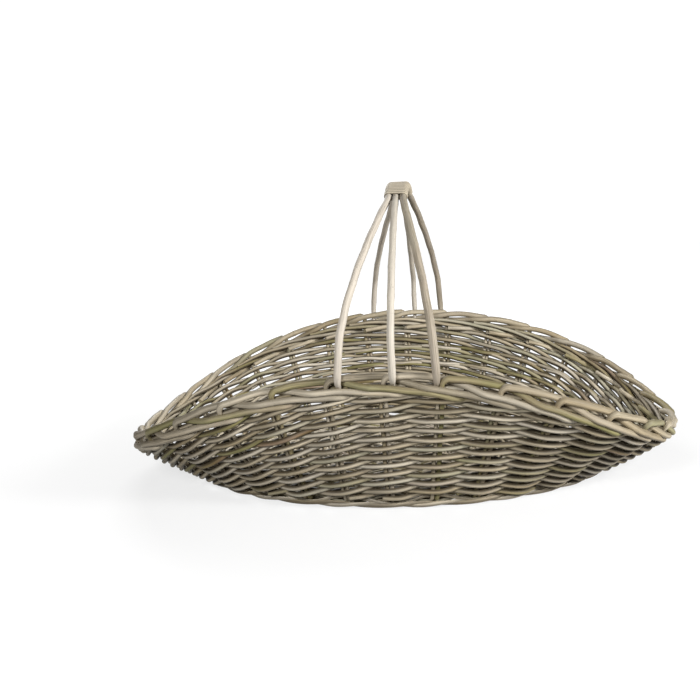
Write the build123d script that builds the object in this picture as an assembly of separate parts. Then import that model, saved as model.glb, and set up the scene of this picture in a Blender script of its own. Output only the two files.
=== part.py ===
from build123d import *
import math
import os

# A willow trug: an oval stick base, side stakes in pairs, French-randed weave,
# a plain border made from the stakes' own upper ends, and a three-rod handle.
# X runs along the basket, Y across it, Z up. The origin is the middle of the
# underside. All lengths are in millimetres.

# Rim, measured on the middle of the wall at the top edge of the border
rim_half_length = 351.0
rim_half_width = 230.0
side_height = 164.7
left_tip_height = 52.0
right_tip_height = 55.0
rim_corner_power = 5.8
rim_corner_root = 0.74
rim_sweep_power = 2.0
rim_sweep_root = 0.97
wall_sag = 2.0
border_lean_share = 0.35

# Base: two woven mats with the sticks between them
base_half_length = 264.0
base_half_width = 190.0
base_crowding_share = 0.009
mat_thickness = 4.4
mat_edge_round = 1.6
cross_stick_radius = 4.2
long_stick_radius = 2.6
cross_stick_pitch = 40.0
long_stick_pitch = 8.0
slath_overrun = 14.0
foot_wale_radius = 3.0
foot_wale_inset = 1.0
stick_gap = 3.0

# Willow rods of the side
stake_count = 32
stake_radius = 2.5
stake_tail = 24.0
stake_bend = 5.0
weaver_radius = 2.5
row_pitch = 5.8
first_row_rise = 10.0
last_row_drop = 3.6
strand_span = 4
top_overrun = 1
foot_wale_rods = 4
rod_clearance = 0.3

# Border: each stake runs behind one stake and in front of two
border_radius = 3.1
border_tip_share = 0.75
border_slack = 0.5
border_top_drop = 3.7
border_step = 6.3
stub_bend = 4.6
border_band = 30.0
bye_stake_rise = 1.5

# Handle: three rods over the width, side by side in the grip
handle_radius = 4.2
handle_height = 356.0
handle_half_span = 244.0
handle_middle_x = 10.5
handle_grip_spread = 9.0
handle_spread_power = 1.7
handle_shoulder_share = 0.3
handle_rise_power = 1.13
grip_start_share = 0.88
foot_point_radius = 1.9
foot_neck_radius = 2.7
foot_point_drop = 22.0
foot_neck_drop = 13.0
foot_neck_offset = -0.4
foot_top_share = 0.88
beside_stub_share = 0.27
beside_rod_share = 0.77
# Each rod's front and back feet, in stakes to the right of the mid-side stake
# at the front and to the left of it at the back
handle_feet_shares = {
    "left": (-0.75, 0.81),
    "middle": (0.19, -0.19),
    "right": (0.94, -0.81),
}

# Binding: one flat skein wound round the three rods
skein_width = 4.6
skein_thickness = 1.5
binding_turns = 22
binding_pitch = 5.3

# Facets and steps of the rods
rod_sides = 6
weaver_sides = 6
handle_sides = 8
arch_steps = 15
arch_start_share = 0.05
binding_corners = [-90, -45, 0, 45, 90]

half_share = 0.5
sag_factor = 4.0
stations_per_stake = 16
curve_samples = 2880
station_count = stake_count * stations_per_stake
full_turn = math.pi * 2
up = Vector(0, 0, 1)

stick_level = mat_thickness + rod_clearance + cross_stick_radius
foot_wale_level = stick_level - stake_radius - rod_clearance - foot_wale_radius
mat_inset = foot_wale_inset + foot_wale_radius + rod_clearance
pair_half = stake_radius + rod_clearance * half_share
weaver_reach = stake_radius + weaver_radius + rod_clearance
border_offset = stake_radius + border_radius + rod_clearance + border_slack


def rim_point(angle):
    """Point of the rim line at an angle of its plan, from the right tip."""
    along = math.cos(angle)
    fullness = (1 - abs(along) ** rim_corner_power) ** rim_corner_root
    sweep = (1 - abs(along) ** rim_sweep_power) ** rim_sweep_root
    tip_height = right_tip_height if along > 0 else left_tip_height
    x = rim_half_length * along
    y = math.copysign(rim_half_width * fullness, math.sin(angle))
    return Vector(x, y, tip_height + (side_height - tip_height) * sweep)


def base_point(angle):
    """Point of the oval line where the stakes turn up out of the base."""
    x = base_half_length * math.cos(angle)
    return Vector(x, base_half_width * math.sin(angle), stick_level)


def inside_base_line(station, inset):
    """Point level with the base line, moved into the base."""
    inward = up.cross(along_wall(station, 0)).normalized()
    return base_line[station % station_count] + inward * inset


def spread_round(shape, crowding_share):
    """Points round a closed curve given by its angle, a little closer at its ends."""
    samples = [shape(full_turn * i / curve_samples) for i in range(curve_samples + 1)]
    travelled = [0.0]
    for before, after in zip(samples, samples[1:]):
        travelled.append(travelled[-1] + (after - before).length)
    points = []
    index = 0
    for station in range(station_count):
        share = station / station_count
        share -= crowding_share * math.sin(2 * full_turn * share)
        target = travelled[-1] * share
        while travelled[index + 1] < target:
            index += 1
        step = travelled[index + 1] - travelled[index]
        share = (target - travelled[index]) / step
        points.append(samples[index] + (samples[index + 1] - samples[index]) * share)
    return points


rim_line = spread_round(rim_point, 0)
base_line = spread_round(base_point, base_crowding_share)


def border_rise(station):
    """Unit direction up the border, which stands a little steeper than the wall."""
    slant = rim_line[station % station_count] - base_line[station % station_count]
    return (slant.normalized() + up * border_lean_share).normalized()


# The line under the border, where the weave ends
shoulder_line = [rim_line[station] - border_rise(station) * border_band
                 for station in range(station_count)]


def wall_point(station, share):
    """Point on the middle of the wall, from base (0) to shoulder (1)."""
    low = base_line[station % station_count]
    high = shoulder_line[station % station_count]
    sag = sag_factor * share * (1 - share) * wall_sag
    return low + (high - low) * share - up * sag


def wall_height(station):
    """Length of the wall from the base line to the shoulder."""
    low = base_line[station % station_count]
    return (shoulder_line[station % station_count] - low).length


def along_wall(station, share):
    """Unit direction along the wall, towards the next stake."""
    ahead = wall_point(station + 1, share)
    return (ahead - wall_point(station - 1, share)).normalized()


def out_of_wall(station, share):
    """Unit direction out of the wall."""
    rise = shoulder_line[station % station_count] - base_line[station % station_count]
    return along_wall(station, share).cross(rise).normalized()


def place(station, share, out=0, along=0):
    """Point beside the wall's middle, moved out of it and along it."""
    point = wall_point(station, share) + out_of_wall(station, share) * out
    return point + along_wall(station, share) * along


def along_rim(station):
    """Unit direction along the rim, towards the next stake."""
    ahead = rim_line[(station + 1) % station_count]
    return (ahead - rim_line[station % station_count - 1]).normalized()


def out_of_border(station):
    """Unit direction out of the border."""
    return along_rim(station).cross(border_rise(station)).normalized()


def place_in_border(station, drop, out=0, along=0):
    """Point in the border, given by its distance down from the rim line."""
    point = rim_line[station % station_count] - border_rise(station) * drop
    return point + out_of_border(station) * out + along_rim(station) * along


def section(centre, direction, reference, radius, sides):
    """Polygon across a rod, with its first corner towards the reference."""
    first = (reference - direction * reference.dot(direction)).normalized()
    second = direction.cross(first)
    corners = []
    for i in range(sides):
        angle = full_turn * i / sides
        corners.append(centre + first * radius * math.cos(angle)
                       + second * radius * math.sin(angle))
    return Wire.make_polygon(corners, close=True)


def directions_along(points):
    """Unit direction of a line of points at each of them."""
    last = len(points) - 1
    return [(points[min(i + 1, last)] - points[max(i - 1, 0)]).normalized()
            for i in range(len(points))]


def rod(points, radii, references, sides=rod_sides):
    """Faceted willow rod through the points, with a radius at each."""
    sections = []
    for i, direction in enumerate(directions_along(points)):
        cut = section(points[i], direction, references[i], radii[i], sides)
        sections.append(cut)
    return Solid.make_loft(sections, ruled=True)


def save(name, solids):
    """Write one node, with its separate solids."""
    shape = solids[0] if len(solids) == 1 else Compound(children=solids)
    shape.label = name
    export_step(shape, os.path.join("parts", name + ".step"))


def level_share(stake, level):
    """How far up the wall a level of weave crosses a stake, counted from the top."""
    height = wall_height(stake % stake_count * stations_per_stake)
    return 1 - (last_row_drop + level * row_pitch) / height


def weaver_side(level):
    """Inside (-1) the stake at even levels and outside (1) at odd ones."""
    return 1 if level % 2 else -1


def weaver_line(last_stake, levels):
    """Points of a weaver that climbs one level at each stake, up to its last one."""
    stakes = [(last_stake - level) % stake_count for level in levels]
    shares = [level_share(stake, level) for stake, level in zip(stakes, levels)]
    stations = [stake * stations_per_stake for stake in stakes]
    outs = [out_of_wall(s, share) for s, share in zip(stations, shares)]
    middles = [wall_point(s, share) for s, share in zip(stations, shares)]
    offsets = [weaver_reach] * len(levels)
    for _ in range(stations_per_stake):
        points = [middles[i] + outs[i] * weaver_side(level) * offsets[i]
                  for i, level in enumerate(levels)]
        for i, level in enumerate(levels):
            steepest = 0.0
            for neighbour in points[max(i - 1, 0):i] + points[i + 1:i + 2]:
                run = (neighbour - points[i]).normalized()
                inward = -run.dot(outs[i]) * weaver_side(level)
                steepest = max(steepest, inward)
            flat = math.sqrt(1 - steepest ** 2)
            offsets[i] = (weaver_reach + pair_half * steepest) / flat
    return points, outs


def weaver_strand(last_stake, first_level, last_level):
    """One rod of the weave, between two places where it joins the next."""
    levels = range(first_level - 1, last_level + 2)
    points, outs = weaver_line(last_stake, levels)
    sections = []
    for i in range(1, len(levels) - 1):
        direction = (points[i + 1] - points[i - 1]).normalized()
        gap = rod_clearance * half_share
        shift = gap * (levels[i] == first_level) - gap * (levels[i] == last_level)
        centre = points[i] + direction * shift
        cut = section(centre, direction, outs[i], weaver_radius, weaver_sides)
        sections.append(cut)
    return Solid.make_loft(sections, ruled=True)


def reaches(last_stake, level):
    """Whether a weaver is still clear of the base at a level."""
    height = wall_height((last_stake - level) % stake_count * stations_per_stake)
    return last_row_drop + level * row_pitch <= height - first_row_rise


def weaver_strands(first_level, end_level):
    """The separate rods of a band of the weave, each of one span or half of one."""
    half_span = strand_span // 2
    strands = []
    for last_stake in range(stake_count):
        for level in range(first_level, end_level, strand_span):
            halves = [start for start in (level, level + half_span)
                      if all(reaches(last_stake, start + step)
                             for step in range(half_span + 1))]
            if halves:
                first = halves[0] - top_overrun * (level == 0)
                last = halves[-1] + half_span
                if reaches(last_stake, last + 1) and not reaches(last_stake, last + 2):
                    last += 1
                strands.append(weaver_strand(last_stake, first, last))
    return strands


def foot_wale():
    """Rods laid round the underside of the base edge, four in the ring."""
    ring = []
    for stake in range(stake_count):
        edge = inside_base_line(stake * stations_per_stake, foot_wale_inset)
        ring.append(Vector(edge.X, edge.Y, foot_wale_level))
    span = stake_count // foot_wale_rods
    strands = []
    for start in range(0, stake_count, span):
        sections = []
        for stake in range(start, start + span + 1):
            point = ring[stake % stake_count]
            direction = ring[(stake + 1) % stake_count] - ring[stake % stake_count - 1]
            direction = direction.normalized()
            gap = rod_clearance * half_share
            shift = gap * (stake == start) - gap * (stake == start + span)
            centre = point + direction * shift
            cut = section(centre, direction, up, foot_wale_radius, weaver_sides)
            sections.append(cut)
        strands.append(Solid.make_loft(sections, ruled=True))
    return strands


def stake_foot(station, along):
    """Lower end of a stake: its tail in the base and the bend at the edge."""
    side = along_wall(station, 0) * along
    tail = inside_base_line(station, stake_tail) + side
    bend = inside_base_line(station, stake_bend * half_share) + side
    rise_share = stake_bend / wall_height(station)
    return [tail, bend, place(station, rise_share, 0, along)]


# Path of a border rod: stakes travelled, offset from the wall as a share of
# border_offset (outside positive), and steps of border_step below its top.
border_path_shares = [
    (0.125, -0.15, 0.0),
    (0.5, -0.55, 0.05),
    (1.0, -1.0, 0.36),
    (1.25, -1.0, 0.88),
    (1.75, 1.0, 1.37),
    (2.0, 1.0, 1.6),
    (3.0, 1.0, 2.6),
    (3.25, 0.98, 2.85),
    (3.75, -0.98, 3.5),
    (4.0, -1.0, 3.64),
]
wall_rise_shares = [0.5, 1.0]


def border_stake(stake):
    """A stake from the base to the rim and on round the border."""
    station = stake * stations_per_stake
    points = stake_foot(station, pair_half)
    points += [place(station, share, 0, pair_half) for share in wall_rise_shares]
    references = [out_of_wall(station, half_share)] * len(points)
    radii = [stake_radius] * len(points)
    stub_drop = border_top_drop + stub_bend
    points.append(place_in_border(station, stub_drop, 0, pair_half))
    references.append(out_of_border(station))
    radii.append(stake_radius)
    for travel, offset, steps in border_path_shares:
        reached = station + round(travel * stations_per_stake)
        drop = border_top_drop + steps * border_step
        points.append(place_in_border(reached, drop, offset * border_offset))
        references.append(out_of_border(reached))
        taper = 1 - (1 - border_tip_share) * travel / border_path_shares[-1][0]
        radii.append(border_radius * taper)
    return rod(points, radii, references)


def bye_stake(stake):
    """The second stake of a pair, cut off behind the border."""
    station = stake * stations_per_stake
    top_share = 1 + bye_stake_rise / wall_height(station)
    points = stake_foot(station, -pair_half)
    points += [place(station, share, 0, -pair_half) for share in (half_share, top_share)]
    references = [out_of_wall(station, half_share)] * len(points)
    return rod(points, [stake_radius] * len(points), references, weaver_sides)


def arch_point(turn, side, foot_x):
    """Point of the handle's arch; turn runs from 0 (front) to pi (back)."""
    rise = math.sin(turn) ** handle_rise_power
    level = math.cos(turn)
    y = -handle_half_span * level * (1 - handle_shoulder_share * (1 - level ** 2))
    z = side_height + (handle_height - side_height) * rise
    gathered = min(rise / grip_start_share, 1) ** handle_spread_power
    grip_x = handle_middle_x + side * handle_grip_spread
    return Vector(foot_x + (grip_x - foot_x) * gathered, y, z)


def handle_foot(station, top_offset):
    """Lower end of a handle rod, sharpened and driven down beside a stake."""
    return [
        place_in_border(station, foot_point_drop, foot_neck_offset),
        place_in_border(station, foot_neck_drop, foot_neck_offset),
        place_in_border(station, border_top_drop, top_offset),
    ]


foot_radii = [foot_point_radius, foot_neck_radius, handle_radius * foot_top_share]
outside_border = border_radius + handle_radius + rod_clearance * half_share
front_middle = stake_count * 3 // 4 * stations_per_stake
back_middle = stake_count // 4 * stations_per_stake
arch_turns = [math.pi * (arch_start_share + (1 - 2 * arch_start_share) * i / arch_steps)
              for i in range(arch_steps + 1)]


def foot_offset(station):
    """Offset at the top of the border: clear of the rod that lies there."""
    travel = (station % stations_per_stake) / stations_per_stake
    share = beside_stub_share if travel < half_share else beside_rod_share
    return outside_border - border_offset * share


def handle_rod(side, front_share, back_share):
    """One rod of the handle, from its front foot over to its back foot."""
    front = front_middle + round(front_share * stations_per_stake)
    back = back_middle + round(back_share * stations_per_stake)
    front_foot = handle_foot(front, foot_offset(front))
    back_foot = handle_foot(back, foot_offset(back))
    arch = [arch_point(turn, side, (front_foot if turn < math.pi / 2 else back_foot)[-1].X)
            for turn in arch_turns]
    points = front_foot + arch + back_foot[::-1]
    radii = foot_radii + [handle_radius] * len(arch) + foot_radii[::-1]
    references = [Vector(1, 0, 0)] * len(points)
    return rod(points, radii, references, handle_sides)


def grip_frames(runs):
    """Middle point, forward direction and normal of the grip at distances from its top."""
    line = [arch_point(turn, 0, handle_middle_x) for turn in arch_turns]
    tangents = directions_along(line)
    travelled = [0.0]
    for before, after in zip(line, line[1:]):
        travelled.append(travelled[-1] + (after - before).length)
    frames = []
    index = 0
    for run in runs:
        target = travelled[-1] * half_share + run
        while travelled[index + 1] < target:
            index += 1
        share = (target - travelled[index]) / (travelled[index + 1] - travelled[index])
        middle = line[index] + (line[index + 1] - line[index]) * share
        forward = tangents[index] + (tangents[index + 1] - tangents[index]) * share
        forward = forward.normalized()
        frames.append((middle, forward, Vector(1, 0, 0).cross(forward)))
    return frames


def handle_binding():
    """One flat skein wound round the grip from end to end."""
    half_height = handle_radius + rod_clearance + skein_thickness * half_share
    right = [(handle_grip_spread + half_height * math.cos(math.radians(angle)),
              half_height * math.sin(math.radians(angle)), angle)
             for angle in binding_corners]
    left = [(-across, -out, angle + 180) for across, out, angle in right]
    loop = right + left
    steps = binding_turns * len(loop)
    length = binding_turns * binding_pitch
    frames = grip_frames([length * (step / steps - half_share) for step in range(steps + 1)])
    sections = []
    centres = []
    for step, (middle, forward, normal) in enumerate(frames):
        across, out, facing = loop[step % len(loop)]
        centre = middle + Vector(1, 0, 0) * across + normal * out
        outward = Vector(1, 0, 0) * math.cos(math.radians(facing))
        outward += normal * math.sin(math.radians(facing))
        half = forward * skein_width * half_share
        thick = outward * skein_thickness * half_share
        corners = [centre + half + thick, centre - half + thick,
                   centre - half - thick, centre + half - thick]
        sections.append(Wire.make_polygon(corners, close=True))
        centres.append(centre)
    gaps = [(later - earlier).length for earlier, later in
            zip(centres, centres[len(loop):])]
    print("binding: least gap between turns", round(min(gaps) - skein_width, 2), "mm")
    return Solid.make_loft(sections, ruled=True)


def base_mat(level):
    """One face of the woven base, above or below the sticks."""
    edge = [inside_base_line(stake * stations_per_stake, mat_inset)
            for stake in range(stake_count)]
    corners = [(point.X, point.Y) for point in edge]
    mat = extrude(Polygon(*corners, align=None), mat_thickness)
    rims = mat.edges().filter_by(GeomType.LINE).filter_by(Axis.Z, reverse=True)
    mat = chamfer(rims, mat_edge_round)
    return Pos(0, 0, level) * mat


def stick_end(stake):
    """End of a base stick, just short of the stakes' tails."""
    return inside_base_line(stake * stations_per_stake, stake_tail + stick_gap)


def cross_stick(number):
    """A stick across the base, split in the middle for the long sticks."""
    x = number * cross_stick_pitch
    half_slath = long_stick_pitch + slath_overrun
    quarter = stake_count // 4
    back = stick_end(quarter - 2 * number)
    front = stick_end(stake_count - quarter + 2 * number)
    middle = Vector(0, half_slath, 0)
    at_slath = Vector(x, 0, stick_level)
    sections = []
    for point, direction in ((front, at_slath - middle - front), (at_slath - middle, middle),
                             (at_slath + middle, middle), (back, back - middle - at_slath)):
        cut = section(point, direction.normalized(), up, cross_stick_radius, rod_sides)
        sections.append(cut)
    stick = Solid.make_loft(sections, ruled=True)
    slot_height = 2 * (long_stick_radius + rod_clearance)
    slot_length = 2 * (long_stick_pitch + long_stick_radius + rod_clearance)
    slot = Box(4 * cross_stick_radius, slot_length, slot_height)
    return stick - Pos(x, 0, stick_level) * slot


def long_stick(number):
    """A stick along the base, through the split cross sticks."""
    y = number * long_stick_pitch
    half_slath = 2 * cross_stick_pitch + slath_overrun
    right = stick_end(2 * number % stake_count)
    left = stick_end(stake_count // 2 - 2 * number)
    points = [left, Vector(-half_slath, y, stick_level),
              Vector(half_slath, y, stick_level), right]
    return rod(points, [long_stick_radius] * len(points), [up] * len(points))


os.makedirs("parts", exist_ok=True)

save("base_mat_under", [base_mat(0)])
save("base_mat_inside", [base_mat(stick_level + cross_stick_radius + rod_clearance)])
save("base_cross_sticks", [cross_stick(n) for n in range(-2, 3)])
save("base_long_sticks", [long_stick(n) for n in range(-1, 2)])
save("foot_wale", foot_wale())

quarter = stake_count // 4
for number, name in enumerate(("right", "back", "left", "front")):
    first = number * quarter - quarter // 2
    stakes = [(first + i) % stake_count for i in range(quarter)]
    save("border_stakes_" + name, [border_stake(s) for s in stakes])
    save("bye_stakes_" + name, [bye_stake(s) for s in stakes])

level_bands = {"top": (0, 4), "upper": (4, 8), "lower": (8, 12), "bottom": (12, 20)}
for name, (first_level, end_level) in level_bands.items():
    save("side_weave_" + name, weaver_strands(first_level, end_level))

for side, (name, (front, back)) in enumerate(handle_feet_shares.items(), start=-1):
    save("handle_rod_" + name, [handle_rod(side, front, back)])
save("handle_binding", [handle_binding()])
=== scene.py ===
import logging
import math
from collections.abc import Callable, Mapping, Sequence
from dataclasses import dataclass, field
from enum import Enum
from functools import cached_property

import bpy
import numpy as np
from mathutils import Matrix, Vector


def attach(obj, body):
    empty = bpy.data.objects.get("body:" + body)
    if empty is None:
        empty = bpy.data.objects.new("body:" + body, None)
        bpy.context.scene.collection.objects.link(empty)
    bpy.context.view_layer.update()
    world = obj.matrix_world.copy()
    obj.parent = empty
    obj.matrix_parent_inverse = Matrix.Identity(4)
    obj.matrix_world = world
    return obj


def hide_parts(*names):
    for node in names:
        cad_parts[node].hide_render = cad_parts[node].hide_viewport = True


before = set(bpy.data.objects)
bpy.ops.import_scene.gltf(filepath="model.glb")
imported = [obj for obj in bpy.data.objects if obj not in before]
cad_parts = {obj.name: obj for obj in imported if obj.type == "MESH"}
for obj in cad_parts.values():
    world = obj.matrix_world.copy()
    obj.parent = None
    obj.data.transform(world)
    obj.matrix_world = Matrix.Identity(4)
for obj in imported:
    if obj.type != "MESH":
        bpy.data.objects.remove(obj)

# A willow trug, rod by rod: oval stick base, paired side stakes, French-randed
# weave, plain border and a three-rod handle bound at the grip. Metres, +Z up,
# X along the basket, origin in the middle of the base's underside.

Array = np.ndarray
Colour = tuple[float, float, float]
Limits = tuple[float, float]
Point = tuple[float, float, float]
log = logging.getLogger("trug")
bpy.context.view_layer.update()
UP = np.array([0.0, 0.0, 1.0])
ACROSS = np.array([1.0, 0.0, 0.0])
BLACK, WHITE = (0.0, 0.0, 0.0), (1.0, 1.0, 1.0)
LEAST_STEP = 1e-6
# Random phases of waves are drawn up to this angle, in radians
WIDEST_PHASE = 7.0


def unit(vectors: Array) -> Array:
    """Vectors brought to length one."""
    return vectors / np.linalg.norm(vectors, axis=-1, keepdims=True)


def ease(share: Array) -> Array:
    """Smooth step from 0 to 1, held outside that range."""
    held = np.clip(share, 0.0, 1.0)
    return held * held * (3 - 2 * held)


def travelled(points: Array) -> Array:
    """Distance along a line of points to each of them."""
    steps = np.linalg.norm(np.diff(points, axis=0), axis=1)
    return np.concatenate([[0.0], np.cumsum(steps)])


def read_off(wanted: Array, distance: Array, rows: Array) -> Array:
    """Rows at the wanted distances, when the given ones lie at distance."""
    return np.stack([np.interp(wanted, distance, rows[:, i]) for i in range(3)], axis=-1)


def between(t: Array, low: float, high: float, first: Array, second: Array) -> Array:
    """Places at t, on the way from first, which lies at low, to second, at high."""
    return (high - t) / (high - low) * first + (t - low) / (high - low) * second


def smooth_line(points: Array, pitch: float) -> Array:
    """Curve through points, with no corner at any of them.

    Args:
        points: the places that the curve passes, one per row.
        pitch: about how far apart the curve's own points are.

    Returns:
        The curve's points, one per row, at nearly even spacing.
    """
    ends = np.vstack([2 * points[0] - points[1], points, 2 * points[-1] - points[-2]])
    steps = np.maximum(np.linalg.norm(np.diff(ends, axis=0), axis=1) ** 0.5, LEAST_STEP)
    knots = np.concatenate([[0.0], np.cumsum(steps)])
    pieces = []
    for i in range(1, len(ends) - 2):
        knot, point = knots[i - 1:i + 3], ends[i - 1:i + 3]
        count = max(2, int(np.linalg.norm(point[2] - point[1]) / pitch) + 1)
        t = np.linspace(knot[1], knot[2], count, endpoint=False)[:, None]
        a = [between(t, knot[j], knot[j + 1], point[j], point[j + 1]) for j in range(3)]
        b = [between(t, knot[j], knot[j + 2], a[j], a[j + 1]) for j in range(2)]
        pieces.append(between(t, knot[1], knot[2], *b))
    return np.vstack(pieces + [points[-1:]])


def closed_curve(points: Array, stations: Array) -> Array:
    """Places on a smooth closed curve through points.

    Args:
        points: the places that the curve passes, one per row.
        stations: how many of them each wanted place has passed.

    Returns:
        The wanted places, one per row.
    """
    before = np.floor(stations).astype(int)
    share = (stations - before)[:, None]
    p0, p1, p2, p3 = (points[(before + step) % len(points)] for step in (-1, 0, 1, 2))
    return 0.5 * (2 * p1 + (p2 - p0) * share + (2 * p0 - 5 * p1 + 4 * p2 - p3) * share ** 2
                  + (3 * p1 - p0 - 3 * p2 + p3) * share ** 3)


def add_object(name: str, data: bpy.types.ID) -> bpy.types.Object:
    """Puts a new object into the scene.

    Args:
        name: the object's name.
        data: its mesh, lamp or camera.

    Returns:
        The object.
    """
    made = bpy.data.objects.new(name, data)
    bpy.context.scene.collection.objects.link(made)
    return made


@dataclass(frozen=True)
class ClosedLine:
    """A closed curve, asked for by its share of the way round."""

    points: Array

    def at(self, share: Array) -> Array:
        """Points at shares of the way round, which may run past either end."""
        distance = travelled(self.points)
        return read_off(np.mod(share, 1.0) * distance[-1], distance, self.points)


@dataclass(frozen=True)
class TrugShape:
    """The curved wall of the trug and its border, by stake number and height.

    A place round the basket is a number of stakes: stake 0 is at the right
    end, and the numbers rise towards the back. Fractions lie between stakes.
    """

    rim_half_length: float = 0.351
    rim_half_width: float = 0.230
    side_height: float = 0.1647
    left_tip_height: float = 0.052
    right_tip_height: float = 0.055
    rim_corner_power: float = 5.8
    rim_corner_root: float = 0.74
    rim_sweep_power: float = 2.0
    rim_sweep_root: float = 0.97
    wall_sag: float = 0.002
    border_lean_share: float = 0.35
    border_band: float = 0.030
    border_offset: float = 0.0064
    border_top_drop: float = 0.0037
    base_half_length: float = 0.264
    base_half_width: float = 0.190
    base_crowding: float = 0.288
    stick_level: float = 0.0089
    stake_count: int = 32
    stake_spacing: float = 0.055
    stake_radius: float = 0.0025
    row_pitch: float = 0.0058
    first_row_rise: float = 0.0045
    last_row_drop: float = 0.0036
    slope_step: float = 1 / 16
    samples: int = 2880

    @cached_property
    def angles(self) -> Array:
        """Angles of the points of the rim and base lines."""
        return np.linspace(0, 2 * math.pi, self.samples + 1)

    @cached_property
    def rim_line(self) -> ClosedLine:
        """Top line of the wall, from the right end round by the back."""
        along = np.cos(self.angles)
        fullness = (1 - np.abs(along) ** self.rim_corner_power).clip(0) ** self.rim_corner_root
        sweep = (1 - np.abs(along) ** self.rim_sweep_power).clip(0) ** self.rim_sweep_root
        tip = np.where(along > 0, self.right_tip_height, self.left_tip_height)
        y = np.copysign(self.rim_half_width * fullness, np.sin(self.angles))
        z = tip + (self.side_height - tip) * sweep
        return ClosedLine(np.stack([self.rim_half_length * along, y, z], axis=-1))

    @cached_property
    def base_line(self) -> ClosedLine:
        """Oval where the stakes turn up out of the base, the same way round."""
        x = self.base_half_length * np.cos(self.angles)
        y = self.base_half_width * np.sin(self.angles)
        return ClosedLine(np.stack([x, y, np.full_like(x, self.stick_level)], axis=-1))

    def rim(self, stake: Array) -> Array:
        """Points of the rim line."""
        return self.rim_line.at(np.divide(stake, self.stake_count))

    def base(self, stake: Array) -> Array:
        """Points of the base line, where the stakes crowd towards its ends."""
        crowded = stake - self.base_crowding * np.sin(4 * math.pi * stake / self.stake_count)
        return self.base_line.at(crowded / self.stake_count)

    def border_rise(self, stake: Array) -> Array:
        """Directions up the border, a little steeper than the wall."""
        slant = unit(self.rim(stake) - self.base(stake))
        return unit(slant + UP * self.border_lean_share)

    def shoulder(self, stake: Array) -> Array:
        """Line under the border, where the weave ends."""
        return self.rim(stake) - self.border_rise(stake) * self.border_band

    def wall(self, stake: Array, share: Array) -> Array:
        """Points on the middle of the wall.

        Args:
            stake: places round the basket.
            share: their heights, from the base line (0) to the shoulder (1).

        Returns:
            The points.
        """
        share = np.asarray(share, float)
        low, high = self.base(stake), self.shoulder(stake)
        sag = 4 * share * (1 - share) * self.wall_sag
        return low + (high - low) * share[..., None] - UP * sag[..., None]

    def wall_height(self, stake: Array) -> Array:
        """Length of the wall from the base line to the shoulder."""
        return np.linalg.norm(self.shoulder(stake) - self.base(stake), axis=-1)

    def along_wall(self, stake: Array, share: Array) -> Array:
        """Directions along the wall, towards the next stake."""
        behind, ahead = np.subtract(stake, self.slope_step), np.add(stake, self.slope_step)
        return unit(self.wall(ahead, share) - self.wall(behind, share))

    def out_of_wall(self, stake: Array, share: Array) -> Array:
        """Directions out of the wall."""
        rise = self.shoulder(stake) - self.base(stake)
        return unit(np.cross(self.along_wall(stake, share), rise))

    def beside_wall(self, stake: Array, share: Array, out: Array, along: float = 0.0) -> Array:
        """Points moved out of the wall and along it."""
        outward = self.out_of_wall(stake, share) * np.asarray(out)[..., None]
        return self.wall(stake, share) + outward + self.along_wall(stake, share) * along

    def along_rim(self, stake: Array) -> Array:
        """Directions along the rim, towards the next stake."""
        behind, ahead = np.subtract(stake, self.slope_step), np.add(stake, self.slope_step)
        return unit(self.rim(ahead) - self.rim(behind))

    def out_of_border(self, stake: Array) -> Array:
        """Directions out of the border."""
        return unit(np.cross(self.along_rim(stake), self.border_rise(stake)))

    def in_border(self, stake: Array, drop: Array, out: Array, along: float = 0.0) -> Array:
        """Points of the border.

        Args:
            stake: places round the basket.
            drop: distances down from the rim line.
            out: distances out of the border.
            along: distance along the rim.

        Returns:
            The points.
        """
        point = self.rim(stake) - self.border_rise(stake) * np.asarray(drop)[..., None]
        point = point + self.out_of_border(stake) * np.asarray(out)[..., None]
        return point + self.along_rim(stake) * along

    def inside_base(self, stake: Array, inset: Array) -> Array:
        """Points level with the base line, moved into the base."""
        inward = unit(np.cross(UP, self.along_wall(stake, np.zeros(np.shape(stake)))))
        return self.base(stake) + inward * np.asarray(inset)[..., None]

    def level_count(self, stake: Array) -> Array:
        """Number of levels of weave below the top one."""
        return (self.wall_height(stake) - self.first_row_rise - self.last_row_drop) / self.row_pitch

    def level_share(self, stake: Array, level: Array) -> Array:
        """How far up the wall a level of weave lies, counted down from the top."""
        return 1 - (self.last_row_drop + level * self.row_pitch) / self.wall_height(stake)


# Corners of the flat skein's section at half width one: height, then across
SKEIN_CORNERS = ((0.18, -1.0), (0.34, -0.55), (0.3808, 0.0), (0.34, 0.55), (0.18, 1.0),
                 (0.0, 0.96), (-0.04, 0.0), (0.0, -0.96))
# Distance of a split rod's flat face from the rod's middle, at radius one
SPLIT_GAP = 0.04


class Section(Enum):
    """Cross-sections that a swept rod can have."""

    ROUND = "round"
    UPPER_HALF = "upper half"
    LOWER_HALF = "lower half"
    SKEIN = "skein"

    def outline(self, sides: int) -> Array:
        """Corners of the section at radius one.

        Args:
            sides: number of corners of a round section.

        Returns:
            The corners: towards the way the rod faces, then across it.
        """
        if self is Section.SKEIN:
            return np.array(SKEIN_CORNERS)
        angle = np.arange(sides) * 2 * math.pi / sides
        ring = np.stack([np.cos(angle), np.sin(angle)], axis=-1)
        if self is Section.UPPER_HALF:
            ring[:, 0] = ring[:, 0].clip(SPLIT_GAP, None)
        if self is Section.LOWER_HALF:
            ring[:, 0] = ring[:, 0].clip(None, -SPLIT_GAP)
        return ring


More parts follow.
